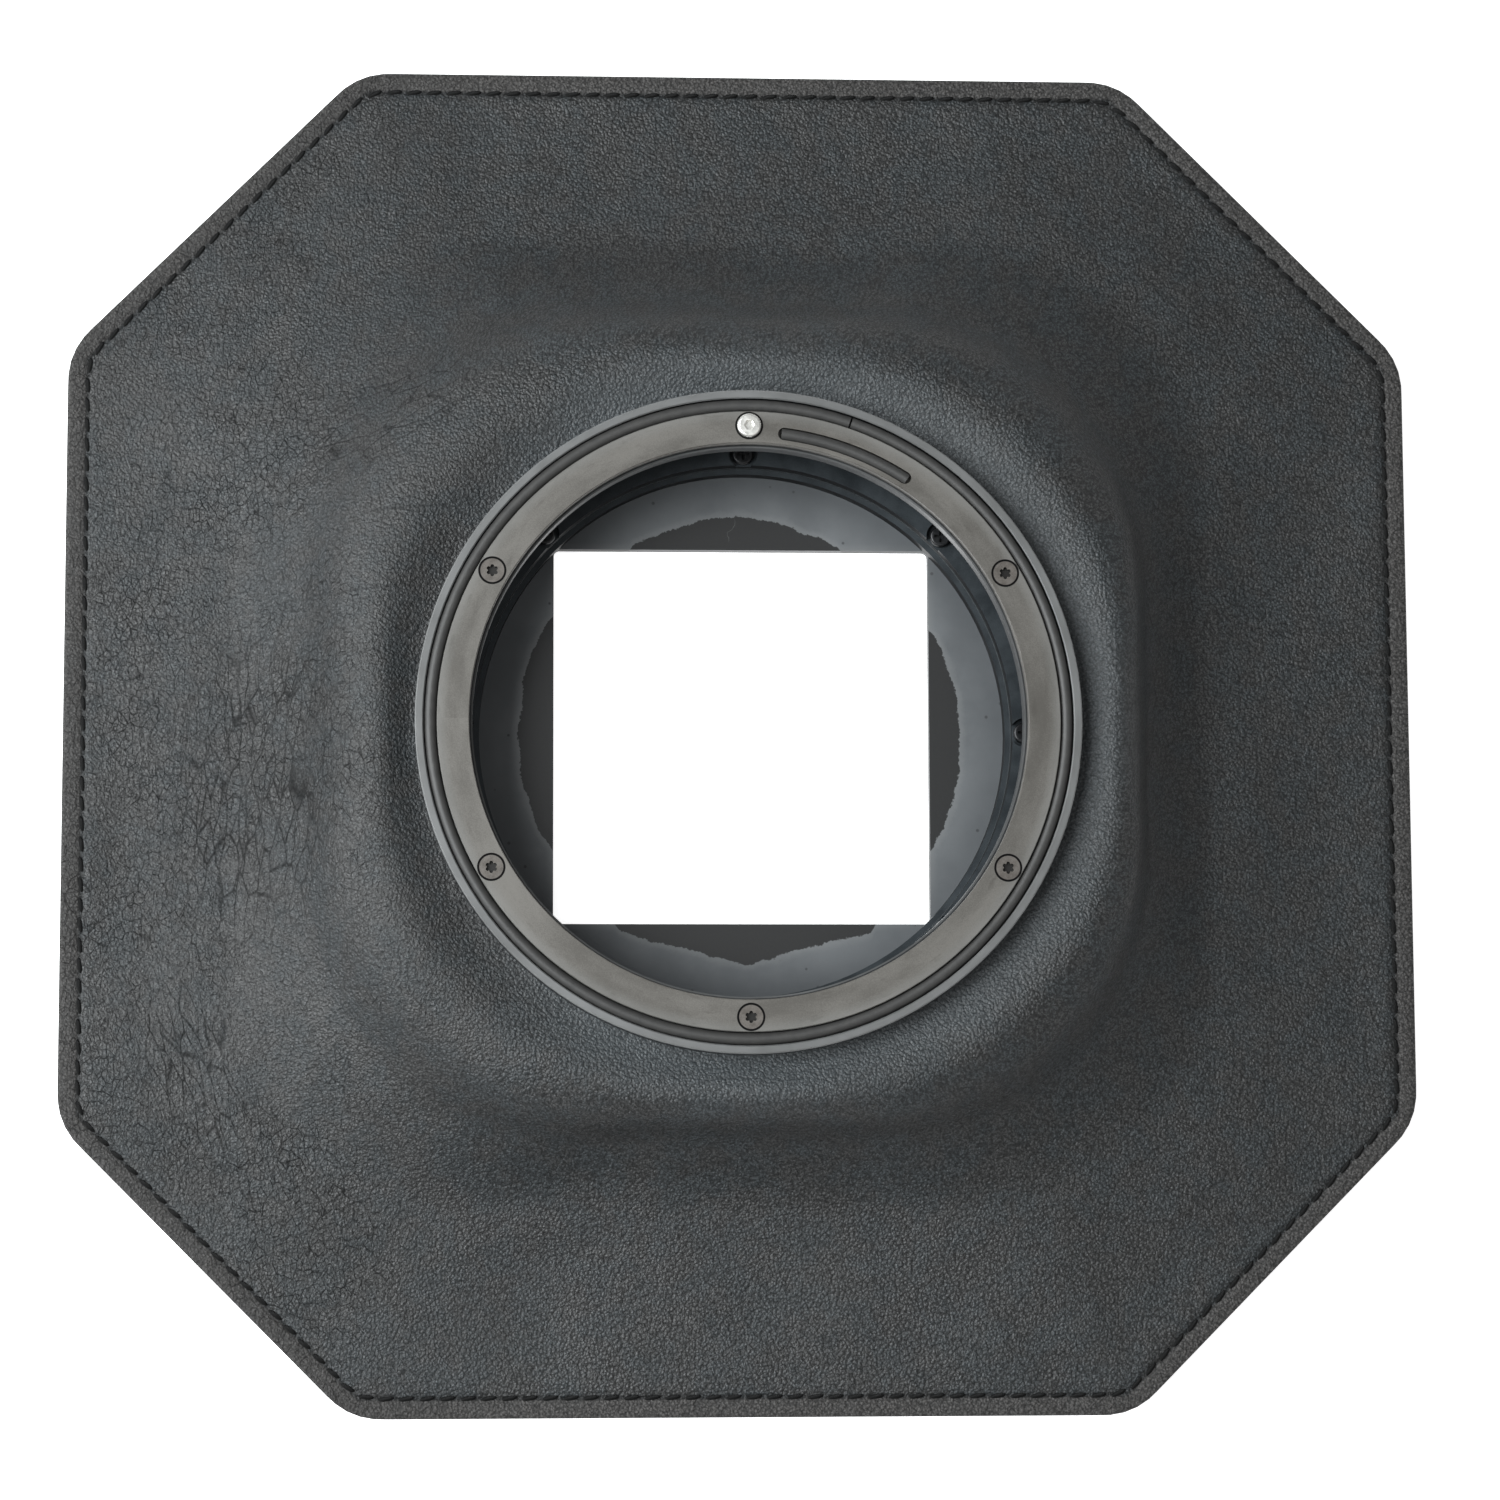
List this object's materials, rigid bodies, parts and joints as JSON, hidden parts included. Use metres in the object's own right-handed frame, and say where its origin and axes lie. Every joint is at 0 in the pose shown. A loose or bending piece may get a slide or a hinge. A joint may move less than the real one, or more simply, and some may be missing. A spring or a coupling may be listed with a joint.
{
  "type": "bag bellows",
  "caption": "Wide-angle leather bag bellows: octagonal sewn bag between a round mounting ring with a sealing cord and a square rear plate with a picture window.",
  "frame": {"origin": "middle of the rear plate's back face, on the optical axis", "axes": "+Z along the optical axis from the rear plate to the front ring, +Y to the top of the picture, +X to the right seen from the front"},
  "size_m": [0.229, 0.229, 0.0276],
  "materials": {
    "leather": "pebbled, satin",
    "lining": "matt lightproof cloth",
    "tape": "woven tape",
    "thread": "waxed polyester",
    "face_metal": "satin, warm grey",
    "rim_metal": "satin, bright edge",
    "face_screw": "satin",
    "bright_steel": "bright",
    "black_metal": "satin black anodised",
    "black_steel": "black",
    "window_plate": "satin grey with dark rubbed marks",
    "cord": "round black cord"
  },
  "bodies": {
    "rear_frame": {"mounting_plate": "window_plate", "rear_frame": "black_metal", "frame_screws": "black_steel", "rear_clamp_ring": "black_metal", "rear_clamp_screws": "black_steel"},
    "rear_panel": {"rear_leather": "leather", "rear_lining": "lining"},
    "bag_edge": {"stay_tape": "tape", "front_thread": "thread", "rear_thread": "thread"},
    "front_panel": {"front_leather": "leather", "front_lining": "lining"},
    "front_ring": {"front_clamp_ring": "black_metal", "front_flange": "rim_metal", "face_ring": "face_metal", "ring_screws": "face_screw", "index_screw": "bright_steel", "seal_cord": "cord", "slot_cord": "cord"}
  },
  "joints": [
    {"name": "rise_fall", "type": "slide", "parent": "rear_frame", "child": "rear_panel", "axis": [0, 1, 0], "range_m": [-0.01, 0.01], "deforming": ["rear_leather", "rear_lining"]},
    {"name": "rear_draw", "type": "slide", "parent": "rear_panel", "child": "bag_edge", "axis": [0, 0, 1], "range_m": [0, 0.025]},
    {"name": "front_draw", "type": "slide", "parent": "bag_edge", "child": "front_panel", "axis": [0, 0, 1], "range_m": [0, 0.025], "deforming": ["front_leather", "front_lining"]},
    {"name": "shift", "type": "slide", "parent": "front_panel", "child": "front_ring", "axis": [1, 0, 0], "range_m": [-0.015, 0.015]}
  ],
  "couplings": [
    {"joint": "front_draw", "follows": "rear_draw", "ratio": 1}
  ]
}
